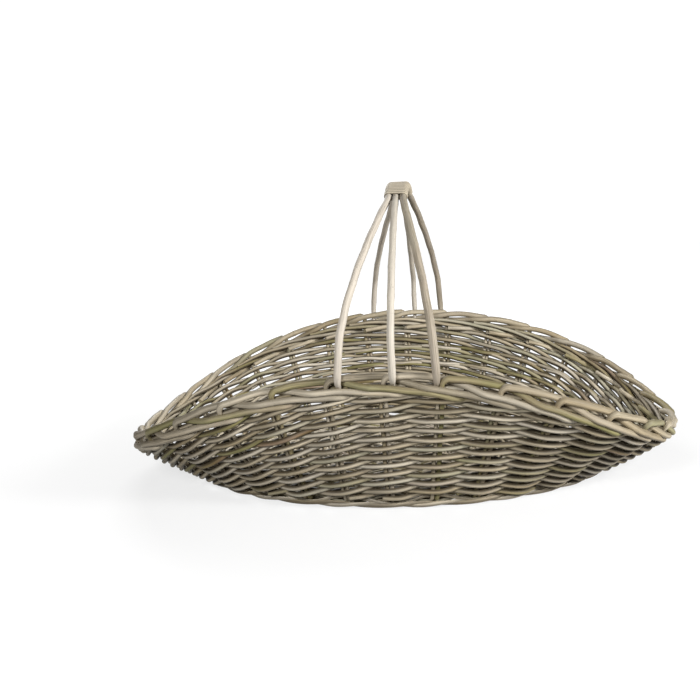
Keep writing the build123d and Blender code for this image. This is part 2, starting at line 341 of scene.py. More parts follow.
@dataclass
class RodMesh:
    """Swept rods gathered into one mesh, with each rod's own places and tones."""

    seed: int
    sides: int
    furthest_start: float = 9.0
    vertices: list[Array] = field(default_factory=list)
    places: list[Array] = field(default_factory=list)
    tones: list[Array] = field(default_factory=list)
    faces: list[list[int]] = field(default_factory=list)
    count: int = 0

    def __post_init__(self) -> None:
        """Starts the seeded draws that give each rod its own look."""
        self.draw = np.random.default_rng(self.seed)

    def _keep(self, corners: Array, places: Array, tone: Array) -> int:
        """Adds vertices.

        Args:
            corners: where they are.
            places: where they lie on their rod: along it, then on its section.
            tone: the rod's own three draws.

        Returns:
            The number of the first one.
        """
        first = self.count
        self.vertices.append(corners)
        self.places.append(places)
        self.tones.append(np.tile(tone, (len(corners), 1)))
        self.count += len(corners)
        return first

    def sweep(self, path: Array, facing: Array, radii: Array,
              section: Section = Section.ROUND) -> None:
        """Adds one rod along a path.

        Args:
            path: points along the rod's middle.
            facing: direction, at each point, that the section's first axis takes.
            radii: radius at each point.
            section: shape of the cross-section.
        """
        ahead = unit(np.gradient(path, axis=0))
        first = unit(facing - ahead * np.sum(facing * ahead, axis=1, keepdims=True))
        second = np.cross(ahead, first)
        outline = section.outline(self.sides)
        sides = len(outline)
        out = (first[:, None, :] * outline[None, :, :1]
               + second[:, None, :] * outline[None, :, 1:])
        rings = path[:, None, :] + out * radii[:, None, None]
        distance = travelled(path) + self.draw.uniform(0, self.furthest_start)
        flat = outline[None, :, :] * radii[:, None, None]
        places = np.concatenate([np.broadcast_to(distance[:, None, None], (*flat.shape[:2], 1)),
                                 flat], axis=2)
        tone = self.draw.uniform(0, 1, 3)
        start = self._keep(rings.reshape(-1, 3), places.reshape(-1, 3), tone)
        ring = np.arange(sides)
        turn = (ring + 1) % sides
        rows = start + np.arange(len(path) - 1)[:, None] * sides
        quads = np.stack([rows + ring, rows + turn, rows + turn + sides, rows + ring + sides],
                         axis=-1)
        self.faces.extend(quads.reshape(-1, 4).tolist())
        for index, order in ((0, ring[::-1]), (len(path) - 1, ring)):
            cap = self._keep(rings[index], places[index], tone)
            self.faces.append((cap + order).tolist())

    def piece(self, name: str, material: bpy.types.Material) -> bpy.types.Object:
        """Makes the piece from the rods gathered so far.

        Args:
            name: the piece's name.
            material: its finish.

        Returns:
            The new object, linked to the scene.
        """
        mesh = bpy.data.meshes.new(name)
        mesh.from_pydata(np.vstack(self.vertices).tolist(), [], self.faces)
        for label, rows in (("rod_place", self.places), ("rod_tone", self.tones)):
            layer = mesh.attributes.new(label, "FLOAT_VECTOR", "POINT")
            layer.data.foreach_set("vector", np.vstack(rows).astype(np.float32).ravel())
        mesh.shade_smooth()
        mesh.materials.append(material)
        return add_object(name, mesh)


@dataclass(frozen=True)
class Growth:
    """How a willow rod departs from a plain tube."""

    thinnest: float = 0.93
    thickest: float = 1.07
    taper_share: float = 0.12
    swell_share: float = 0.0175
    swell_lengths: tuple[float, ...] = (0.05, 0.115)
    knot_share: float = 0.07
    knot_pitch: float = 0.06
    knot_scatter: float = 0.3
    knot_length: float = 0.0022
    wander: float = 0.0003
    wander_length: float = 0.05
    wander_stretches: tuple[float, ...] = (1.0, 1.7, 3.1)

    @staticmethod
    def wave(distance: Array, length: float, draw: np.random.Generator) -> Array:
        """A wave of the given length along a rod, from a random phase."""
        return np.sin(distance * 2 * math.pi / length + draw.uniform(0, WIDEST_PHASE))

    def radii(self, distance: Array, radius: float, draw: np.random.Generator) -> Array:
        """Radius along a rod, with its taper, slow swelling and knots.

        Args:
            distance: distances along the rod.
            radius: the rod's usual radius.
            draw: the rod's random draws.

        Returns:
            The radius at each distance.
        """
        size = radius * draw.uniform(self.thinnest, self.thickest)
        waves = sum(self.wave(distance, length, draw) for length in self.swell_lengths)
        taper = self.taper_share * (0.5 - distance / distance[-1])
        radii = size * (1 + taper + self.swell_share * waves)
        places = np.arange(draw.uniform(0, self.knot_pitch), distance[-1], self.knot_pitch)
        scatter = draw.uniform(-self.knot_scatter, self.knot_scatter, len(places))
        for place in places + scatter * self.knot_pitch:
            knot = np.exp(-((distance - place) / self.knot_length) ** 2)
            radii = radii + size * self.knot_share * knot
        return radii

    def sway(self, distance: Array, draw: np.random.Generator) -> Array:
        """Slow sideways wandering along a rod, longer waves less of it."""
        return self.wander * sum(self.wave(distance, stretch * self.wander_length, draw) / stretch
                                 for stretch in self.wander_stretches)


def math_operator(operation: str, reflected: bool = False) -> Callable[..., "Value"]:
    """Makes an operator of Value that adds a Math node.

    Args:
        operation: the node's operation.
        reflected: whether the operator's own value comes second.

    Returns:
        The operator.
    """
    def operator(value: "Value", other: "Value | float" = 0.0) -> "Value":
        """Adds the node."""
        first, second = (other, value) if reflected else (value, other)
        return value.graph.node("ShaderNodeMath", {"operation": operation}, {0: first, 1: second})
    return operator


class Value:
    """A shader node's output socket; an operator on it adds a Math node."""

    def __init__(self, graph: "Graph", node: bpy.types.Node, output: int | str) -> None:
        """Wraps one output socket of a graph's node."""
        self.graph, self.node, self.output = graph, node, output

    @property
    def socket(self) -> bpy.types.NodeSocket:
        """The wrapped socket."""
        return self.node.outputs[self.output]

    def __getitem__(self, output: int | str) -> "Value":
        """Another output of the same node."""
        return Value(self.graph, self.node, output)

    __add__, __radd__ = math_operator("ADD"), math_operator("ADD", reflected=True)
    __sub__, __rsub__ = math_operator("SUBTRACT"), math_operator("SUBTRACT", reflected=True)
    __mul__, __rmul__ = math_operator("MULTIPLY"), math_operator("MULTIPLY", reflected=True)
    __abs__ = math_operator("ABSOLUTE")


class Graph:
    """The node tree of a material or of the world."""

    def __init__(self, owner: bpy.types.ID) -> None:
        """Empties the owner's node tree."""
        owner.use_nodes = True
        self.tree = owner.node_tree
        self.tree.nodes.clear()

    def node(self, kind: str, settings: Mapping[str, object],
             sockets: Mapping[int | str, object], output: int | str = 0) -> Value:
        """Adds a node.

        Args:
            kind: the node's type.
            settings: its own properties, set first; stops are a colour ramp's.
            sockets: values or links of its input sockets.
            output: the output socket to hand on.

        Returns:
            That output socket, wrapped.
        """
        made = self.tree.nodes.new(kind)
        for key, value in settings.items():
            if key == "stops":
                self._set_stops(made.color_ramp, value)
            else:
                setattr(made, key, value)
        for key, value in sockets.items():
            if isinstance(value, Value):
                self.tree.links.new(value.socket, made.inputs[key])
            else:
                made.inputs[key].default_value = value
        return Value(self, made, output)

    @staticmethod
    def _set_stops(ramp: bpy.types.ColorRamp, stops: Sequence[tuple[float, Colour]]) -> None:
        """Gives a colour ramp its stops.

        Args:
            ramp: the ramp.
            stops: place and colour of each stop, in order.
        """
        while len(ramp.elements) > 1:
            ramp.elements.remove(ramp.elements[-1])
        for number, (place, colour) in enumerate(stops):
            element = ramp.elements[0] if number == 0 else ramp.elements.new(place)
            element.position = place
            element.color = (*colour, 1.0)

    def blend(self, share: Value, *colours: Value | Colour) -> Value:
        """Mixes a first colour (0) with a second (1)."""
        first, second = (c if isinstance(c, Value) else (*c, 1.0) for c in colours)
        return self.node("ShaderNodeMix", {"data_type": "RGBA"}, {0: share, 6: first, 7: second}, 2)

    def vector(self, operation: str, first: Value, second: Value | Sequence[float]) -> Value:
        """Adds one Vector Math node."""
        return self.node("ShaderNodeVectorMath", {"operation": operation}, {0: first, 1: second})

    def ramp(self, value: Value, limits: Limits) -> Value:
        """A value's share of the way between two limits, held outside them."""
        return self.node("ShaderNodeMapRange", {"clamp": True},
                         {0: value, 1: limits[0], 2: limits[1], 3: 0.0, 4: 1.0})


@dataclass(frozen=True)
class WillowFinish:
    """Peeled willow under a thin grey wash, each rod in its own tone, with painted shade darkening
    each rod's sides where it meets its neighbours.
    """

    name: str
    pale: Colour = (0.60, 0.52, 0.38)
    middle: Colour = (0.36, 0.29, 0.175)
    green: Colour = (0.26, 0.24, 0.10)
    brown: Colour = (0.24, 0.145, 0.07)
    grey: Colour = (0.34, 0.305, 0.235)
    wash: Colour = (0.70, 0.655, 0.57)
    # Dark colour of the real grain streaks and specks, also the colour of the painted shade between
    # rods
    grain_and_shade: Colour = (0.045, 0.032, 0.016)
    tone_stops: tuple[float, ...] = (0.0, 0.24, 0.45, 0.62, 0.78, 0.93)
    tone_weight: float = 0.8
    drift_weight: float = 0.4
    noise_shift: float = 40.0
    # Stretch of each noise along, across and beside the rod, then its detail
    drift: tuple[float, ...] = (9, 60, 60, 3.0)
    streak: tuple[float, ...] = (30, 900, 900, 4.0)
    speck: tuple[float, ...] = (420, 620, 620, 2.0)
    fibre_limits: Limits = (0.42, 0.66)
    least_fibre: float = 0.25
    fibre_spread: float = 0.3
    wash_share: float = 0.45
    wash_spread: float = 0.5
    wash_limits: Limits = (0.35, 0.75)
    speck_share: float = 0.4
    speck_limits: Limits = (0.66, 0.74)
    # Painted shade between rods: its strength, the rod radius, then where the darkening starts and
    # ends as shares of that radius
    painted_shade: float = 0.93
    rod_radius: float = 0.0031
    painted_shade_start: float = 0.32
    painted_shade_end: float = 0.86
    roughness: float = 0.62
    roughness_swing: float = 0.2
    specular: float = 0.35
    bump: float = 0.35
    bump_height: float = 0.0004
    streak_height: float = 0.7

    @cached_property
    def material(self) -> bpy.types.Material:
        """The finish, built from each rod's own places and tones."""
        material = bpy.data.materials.new(self.name)
        graph = Graph(material)
        place = graph.node("ShaderNodeAttribute", {"attribute_name": "rod_place"}, {}, "Vector")
        tone = graph.node("ShaderNodeAttribute", {"attribute_name": "rod_tone"}, {}, "Vector")
        draws = graph.node("ShaderNodeSeparateXYZ", {}, {0: tone})
        shift = graph.vector("MULTIPLY", tone, (self.noise_shift,) * 3)
        drift, streak, speck = (
            graph.node("ShaderNodeTexNoise", {"noise_dimensions": "3D"}, {
                "Vector": graph.vector("ADD", graph.vector("MULTIPLY", place, stretch), shift),
                "Scale": 1.0, "Detail": detail})
            for *stretch, detail in (self.drift, self.streak, self.speck))
        tones = self.grey, self.middle, self.pale, self.middle, self.green, self.brown
        mixed = draws[0] * self.tone_weight + drift * self.drift_weight
        centred = mixed + (1 - self.tone_weight - self.drift_weight) / 2
        rod = graph.node("ShaderNodeValToRGB", {"stops": tuple(zip(self.tone_stops, tones))},
                         {0: centred})
        fibre = graph.ramp(streak, self.fibre_limits)
        darker = graph.blend(fibre * (self.least_fibre + draws[1] * self.fibre_spread),
                             rod, self.grain_and_shade)
        film = graph.ramp(drift + (draws[2] - 0.5) * self.wash_spread, self.wash_limits)
        washed = graph.blend(film * self.wash_share, darker, self.wash)
        spots = graph.ramp(speck, self.speck_limits)
        spotted = graph.blend(spots * self.speck_share, washed, self.grain_and_shade)
        # Painted shade: a mask that rises towards the two sides of each rod's section, where rods
        # press together and shade falls between them
        beside = abs(graph.node("ShaderNodeSeparateXYZ", {}, {0: place}, "Z"))
        painted_crevice_shade = graph.ramp(beside, (self.rod_radius * self.painted_shade_start,
                                      self.rod_radius * self.painted_shade_end))
        normal = graph.node("ShaderNodeBump", {}, {
            "Strength": self.bump, "Distance": self.bump_height,
            "Height": streak * self.streak_height + speck * (1 - self.streak_height)})
        # The base colour takes the painted shade between rods, mixed towards the dark grain colour
        surface = graph.node("ShaderNodeBsdfPrincipled", {}, {
            "Base Color": graph.blend(painted_crevice_shade * self.painted_shade, spotted, self.grain_and_shade),
            "Roughness": self.roughness + self.roughness_swing * (streak - 0.5),
            "Normal": normal, "Specular IOR Level": self.specular})
        graph.node("ShaderNodeOutputMaterial", {}, {"Surface": surface})
        return material


# Painted shade between rods: strongest on the side weave and base, less on the skein's turns, less
# again on the border, none on the handle
SIDE_FINISH = WillowFinish("washed_willow_side")
BORDER_FINISH = WillowFinish("washed_willow_border", pale=(0.54, 0.465, 0.33),
                             middle=(0.38, 0.305, 0.19), wash_share=0.28, painted_shade=0.5,
                             rod_radius=0.0041)
HANDLE_FINISH = WillowFinish("washed_willow_handle", pale=(0.58, 0.52, 0.44),
                             middle=(0.46, 0.40, 0.325), green=(0.39, 0.345, 0.265),
                             brown=(0.36, 0.29, 0.22), painted_shade=0.0)
SKEIN_FINISH = WillowFinish("willow_skein", pale=(0.68, 0.59, 0.44), middle=(0.52, 0.43, 0.30),
                            wash_share=0.3, painted_shade=0.6, rod_radius=0.0026)
BASE_FINISH = WillowFinish("washed_willow_base")


@dataclass
class SubAssembly:
    """What every part of the trug shares: its shape, its growth and its report."""

    shape: TrugShape
    growth: Growth = field(default_factory=Growth)
    pitch: float = 0.003
    facing_sway: float = 0.5
    rods: RodMesh = field(init=False)

    def begin(self, seed: int, sides: int = 10) -> None:
        """Starts the rods of the next piece."""
        self.rods = RodMesh(seed, sides)

    def settle(self, name: str, finish: WillowFinish, slot: str, nodes: Sequence[str]) -> None:
        """Makes a piece and says what it rides on and which solids it stands for.

        Args:
            name: the piece's name.
            finish: its finish.
            slot: not used.
            nodes: the solids that it stands for.
        """
        piece = self.rods.piece(name, finish.material)
        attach(piece, "root")
        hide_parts(*nodes)
        log.info("%s: %d faces, stands for %s", name, len(self.rods.faces), ", ".join(nodes))

    def grow(self, path: Array, facing: Array, radius: Array | float,
             section: Section = Section.ROUND) -> None:
        """Adds one rod with a natural taper, swelling and sway.

        Args:
            path: points along its middle.
            facing: the section's first axis, for the whole rod or at each point.
            radius: the usual radius, for the whole rod or at each point.
            section: shape of the cross-section.
        """
        distance = travelled(path)
        facing = np.broadcast_to(facing, path.shape)
        across = unit(np.cross(unit(np.gradient(path, axis=0)), facing))
        sideways, outward = (self.growth.sway(distance, self.rods.draw)[:, None] for _ in range(2))
        swayed = path + across * sideways + facing * outward * self.facing_sway
        size = float(np.max(radius))
        radii = self.growth.radii(distance, size, self.rods.draw) * np.asarray(radius) / size
        self.rods.sweep(swayed, facing, radii, section)


@dataclass
class SideWeave(SubAssembly):
    """The thin rods that climb in and out of the stakes, one level at each."""

    seed: int = 100
    weaver_radius: float = 0.0032
    clearance: float = 0.0001
    top_overrun: float = 3.4
    last_crossing: float = -2.0
    pressed_share: float = 0.09
    tail: float = 0.35
    tail_lift: float = 0.0026
    tail_run: float = 0.5
    low_taper: float = 0.1
    high_taper: float = 0.2
    level_wander: float = 0.00028
    wander_turns: tuple[float, ...] = (1.3, 2.9)
    shortest_run: float = 0.6
    band_levels: int = 4
    most_levels: int = 24
    level_step: float = 0.05

    def strand(self, last_stake: int, high: float, low: float) -> None:
        """Adds one rod.

        Args:
            last_stake: the stake where its weaver reaches the top level.
            high: level at which the rod ends.
            low: level at which it starts, further down.
        """
        shape = self.shape
        level = np.arange(low, high, -self.pitch / shape.stake_spacing)
        stake = last_stake - level
        near_low = 1 - ease((low - level) / self.tail_run)
        near_high = 1 - ease((level - high) / self.tail_run)
        waves = sum(np.sin(level * turns + self.rods.draw.uniform(0, WIDEST_PHASE))
                    for turns in self.wander_turns)
        lift = self.tail_lift * (near_low - near_high) + self.level_wander * waves
        share = shape.level_share(stake, level) + lift / shape.wall_height(stake)
        swing = -np.cos(math.pi * level.clip(self.last_crossing, None))
        taper = 1 - self.low_taper * near_low - self.high_taper * near_high
        radius = self.weaver_radius * taper * (1 - self.pressed_share * swing)
        out = swing * (shape.stake_radius + self.weaver_radius + self.clearance)
        self.grow(shape.beside_wall(stake, share, out), shape.out_of_wall(stake, share),
                  radius)

    def runs(self, last_stake: int) -> list[tuple[float, float]]:
        """Finds where a weaver is above the base.

        Args:
            last_stake: the stake where the weaver reaches the top level.

        Returns:
            Ranges of level, each with its highest level first.
        """
        levels = np.arange(0, self.most_levels, self.level_step)
        above = levels <= self.shape.level_count(last_stake - levels)
        edges = np.flatnonzero(np.diff(above.astype(int))) + 1
        bounds = [0, *edges.tolist(), len(levels)]
        return [(levels[first], levels[end - 1]) for first, end in zip(bounds, bounds[1:])
                if above[first]]

    def build(self) -> None:
        """Builds the four bands of levels."""
        for number, name in enumerate(("top", "upper", "lower", "bottom")):
            first = number * self.band_levels
            end = self.most_levels if name == "bottom" else first + self.band_levels
            start = first - self.tail if first else -self.top_overrun
            self.begin(self.seed + number)
            for last_stake in range(self.shape.stake_count):
                for high, low in self.runs(last_stake):
                    high = max(high if high > 0 else -self.top_overrun, start)
                    low = min(low, end + self.tail)
                    if low - high > self.shortest_run:
                        self.strand(last_stake, high, low)
            self.settle("weavers_" + name, SIDE_FINISH, "side_weave", ["side_weave_" + name])


@dataclass
class Stakes(SubAssembly):
    """The paired upright rods, the first of each pair running on as the border."""

    border_seed: int = 200
    bye_seed: int = 300
    border_sides: int = 12
    pair_half: float = 0.00265
    stake_tail: float = 0.010
    stake_bend: float = 0.005
    bye_stake_rise: float = 0.0015
    wall_points: int = 8
    wall_top_share: float = 0.99
    border_radius: float = 0.0041
    border_tip_share: float = 0.8
    border_taper_power: float = 1.5
    border_step: float = 0.0064
    border_bend: float = 0.004
    swell_length: float = 0.02
    stub_bend: float = 0.0046
    # Stakes travelled, offset as a share of border_offset, steps below the top
    border_shares: tuple[tuple[float, float, float], ...] = (
        (0.125, -0.15, 0.0), (0.5, -0.55, 0.05), (1.0, -1.0, 0.36), (1.25, -1.0, 0.88),
        (1.75, 1.0, 1.37), (2.0, 1.0, 1.6), (3.0, 1.0, 2.6), (3.25, 0.98, 2.85),
        (3.75, -1.6, 3.5), (4.0, -1.75, 3.64))

    def lower_part(self, stake: int, along: float, top_share: float) -> Array:
        """Points of a stake from its tail in the base up the wall.

        Args:
            stake: its number.
            along: how far it stands from the middle of its pair.
            top_share: height of the last point, as a share of the wall's.

        Returns:
            The points.
        """
        shape = self.shape
        side = shape.along_wall(stake, 0.0) * along
        foot = [shape.inside_base(stake, inset) + side
                for inset in (self.stake_tail, self.stake_bend * 0.5)]
        bend_share = self.stake_bend / float(shape.wall_height(stake))
        shares = np.linspace(bend_share, top_share, self.wall_points)
        return np.vstack(foot + [shape.beside_wall(stake, share, 0.0, along) for share in shares])

    def bye_stake(self, stake: int) -> None:
        """Adds the second stake of a pair.

        Args:
            stake: its number.
        """
        top = 1 + self.bye_stake_rise / float(self.shape.wall_height(stake))
        path = smooth_line(self.lower_part(stake, -self.pair_half, top), self.pitch)
        self.grow(path, self.shape.out_of_wall(stake, 0.5), self.shape.stake_radius)

    def border_stake(self, stake: int) -> None:
        """Adds a stake that runs up the wall and on round the border.

        Args:
            stake: its number.
        """
        shape = self.shape
        stub = shape.in_border(stake, shape.border_top_drop + self.stub_bend, 0.0, self.pair_half)
        lower = self.lower_part(stake, self.pair_half, self.wall_top_share)
        wall = np.vstack([lower, stub])
        units = shape.stake_spacing, shape.border_offset, self.border_step
        flat = smooth_line(np.multiply(self.border_shares, units), self.border_bend)
        around = stake + flat[:, 0] / shape.stake_spacing
        border = shape.in_border(around, shape.border_top_drop + flat[:, 2], flat[:, 1])
        path = smooth_line(np.vstack([wall, border]), self.pitch)
        distance, wall_end = travelled(path), travelled(wall)[-1]
        border_reach = wall_end + self.border_bend + travelled(border)
        facing = read_off(distance, np.concatenate([[0.0, wall_end], border_reach]),
                          shape.out_of_border(np.concatenate([[stake, stake], around])))
        on_border = ease((distance - wall_end) / self.swell_length + 0.5)
        run = (distance - border_reach[0]) / (border_reach[-1] - border_reach[0])
        thinned = (1 - self.border_tip_share) * np.clip(run, 0, 1) ** self.border_taper_power
        swell = self.border_radius * (1 - thinned) - shape.stake_radius
        self.grow(path, facing, shape.stake_radius + swell * on_border)

    def build(self) -> None:
        """Builds the four quarters of stakes."""
        quarter = self.shape.stake_count // 4
        for number, name in enumerate(("right", "back", "left", "front")):
            stakes = range(number * quarter - quarter // 2, (number + 1) * quarter - quarter // 2)
            self.begin(self.border_seed + number, self.border_sides)
            for stake in stakes:
                self.border_stake(stake)
            self.settle("border_rods_" + name, BORDER_FINISH, "border", ["border_stakes_" + name])
            self.begin(self.bye_seed + number)
            for stake in stakes:
                self.bye_stake(stake)
            self.settle("paired_stakes_" + name, SIDE_FINISH, "side_stakes", ["bye_stakes_" + name])


@dataclass
class OvalBase(SubAssembly):
    """The woven oval base on its split sticks, with the rods that bind its edge."""

    seed: int = 400
    cross_radius: float = 0.0042
    long_radius: float = 0.0026
    cross_pitch: float = 0.040
    long_pitch: float = 0.008
    cross_numbers: range = range(-2, 3)
    long_numbers: range = range(-1, 2)
    cross_sides: int = 16
    parting_share: float = 0.8
    parting_run: float = 1.6
    slath_overrun: float = 0.0085
    stick_inset: float = 0.027
    weaver_radius: float = 0.0023
    inner_rings: int = 35
    ring_step: float = 0.0042
    ring_sides: int = 7
    wrap_samples: int = 24
    edge_rings: int = 7
    edge_start: float = 0.025
    edge_inset: float = 0.0015
    wale_step: float = 0.1
    wale_inset: float = 0.0005
    wale_swing: float = 0.0028
    wale_level: float = 0.0036
    wale_rise: float = 0.0012

    @cached_property
    def sticks(self) -> dict[tuple[str, int], tuple[Array, Array]]:
        """Where each stick end leaves the slath and where it stops, by side and number."""
        half_x = self.cross_numbers[-1] * self.cross_pitch + self.slath_overrun
        half_y = self.long_numbers[-1] * self.long_pitch + self.slath_overrun
        back = self.shape.stake_count // 4
        ends = {}
        for n in self.long_numbers:
            ends["right", n] = half_x, n * self.long_pitch, 2 * n
        for n in reversed(self.cross_numbers):
            ends["back", n] = n * self.cross_pitch, half_y, back - 2 * n
        for n in reversed(self.long_numbers):
            ends["left", n] = -half_x, n * self.long_pitch, 2 * back - 2 * n
        for n in self.cross_numbers:
            ends["front", n] = n * self.cross_pitch, -half_y, 3 * back + 2 * n
        return {key: (np.array([x, y, self.shape.stick_level]),
                      self.shape.inside_base(stake, self.stick_inset))
                for key, (x, y, stake) in ends.items()}

    def ring(self, places: Array, rise: float) -> None:
        """Adds a closed round of weave.

        Args:
            places: the sticks or stakes that it passes, over and under in turn.
            rise: its height over the first of them, below zero under it.
        """
        length = travelled(np.vstack([places, places[:1]]))[-1]
        stations = np.linspace(0, len(places), int(length / self.ring_step))
        path = closed_curve(places, stations)
        path[:, 2] += rise * np.cos(math.pi * stations)
        self.grow(path, UP, self.weaver_radius)

    def weave(self) -> None:
        """Adds every round of the base's weave."""
        rise = self.cross_radius + self.weaver_radius
        for ring in range(self.inner_rings):
            share = (ring + 0.5) / self.inner_rings
            places = np.array([start + (end - start) * share
                               for start, end in self.sticks.values()])
            self.ring(places, rise if ring % 2 else -rise)
        rise = self.shape.stake_radius + self.weaver_radius
        stakes = np.arange(self.shape.stake_count)
        insets = np.linspace(self.edge_start, self.edge_inset, self.edge_rings)
        for ring, inset in enumerate(insets):
            places = self.shape.inside_base(stakes, np.full(len(stakes), inset))
            self.ring(places, rise if ring % 2 else -rise)

    def wrap_slath(self) -> None:
        """Winds the long sticks between each two cross sticks."""
        radius = self.weaver_radius
        turns = int((self.cross_pitch - 2 * self.cross_radius) / (2 * radius))
        phase = np.linspace(0, turns, turns * self.wrap_samples + 1)
        angle = 2 * math.pi * phase
        y = (self.long_pitch + self.long_radius + radius) * np.cos(angle)
        z = self.shape.stick_level + (self.long_radius + radius) * np.sin(angle)
        for number in self.cross_numbers[:-1]:
            start = number * self.cross_pitch + self.cross_radius + radius
            path = np.stack([start + 2 * radius * phase, y, z], axis=-1)
            self.grow(path, ACROSS, radius)

    def long_stick(self, number: int) -> None:
        """Adds a stick that runs the length of the base.

        Args:
            number: its number, 0 in the middle.
        """
        (start, end), (left_start, left_end) = (self.sticks[side, number]
                                                for side in ("right", "left"))
        path = smooth_line(np.array([left_end, left_start, start, end]), self.pitch)
        self.grow(path, UP, self.long_radius)

    def cross_stick(self, number: int) -> None:
        """Adds a split stick whose halves part round the long sticks.

        Args:
            number: its number, 0 in the middle.
        """
        (back_start, back_end), (start, end) = (self.sticks[side, number]
                                                for side in ("back", "front"))
        path = smooth_line(np.array([end, start, back_start, back_end]), self.pitch)
        parted = ease(self.parting_run - np.abs(path[:, 1]) / (2 * self.long_pitch))
        gap = self.long_radius * self.parting_share * parted
        for section, way in ((Section.UPPER_HALF, 1), (Section.LOWER_HALF, -1)):
            self.grow(path + UP * (way * gap)[:, None], UP, self.cross_radius, section)

    def foot_wale(self) -> None:
        """Adds the two rods twined round the feet of the stakes."""
        stake = np.arange(0, self.shape.stake_count, self.wale_step)
        for phase in (0.0, math.pi):
            swing = math.pi * stake + phase
            path = self.shape.inside_base(stake, self.wale_inset - self.wale_swing * np.cos(swing))
            path[:, 2] = self.wale_level + self.wale_rise * np.sin(swing)
            self.grow(path, UP, self.weaver_radius)

    def build(self) -> None:
        """Builds the base."""
        self.begin(self.seed, self.ring_sides)
        self.weave()
        self.wrap_slath()
        self.settle("base_weave", BASE_FINISH, "base", ["base_mat_under", "base_mat_inside"])
        self.begin(self.seed + 1, self.cross_sides)
        for number in self.cross_numbers:
            self.cross_stick(number)
        self.settle("split_cross_sticks", BASE_FINISH, "base", ["base_cross_sticks"])
        self.begin(self.seed + 2)
        for number in self.long_numbers:
            self.long_stick(number)
        self.settle("long_sticks", BASE_FINISH, "base", ["base_long_sticks"])
        self.begin(self.seed + 3)
        self.foot_wale()
        self.settle("foot_wale_rods", BASE_FINISH, "base", ["foot_wale"])


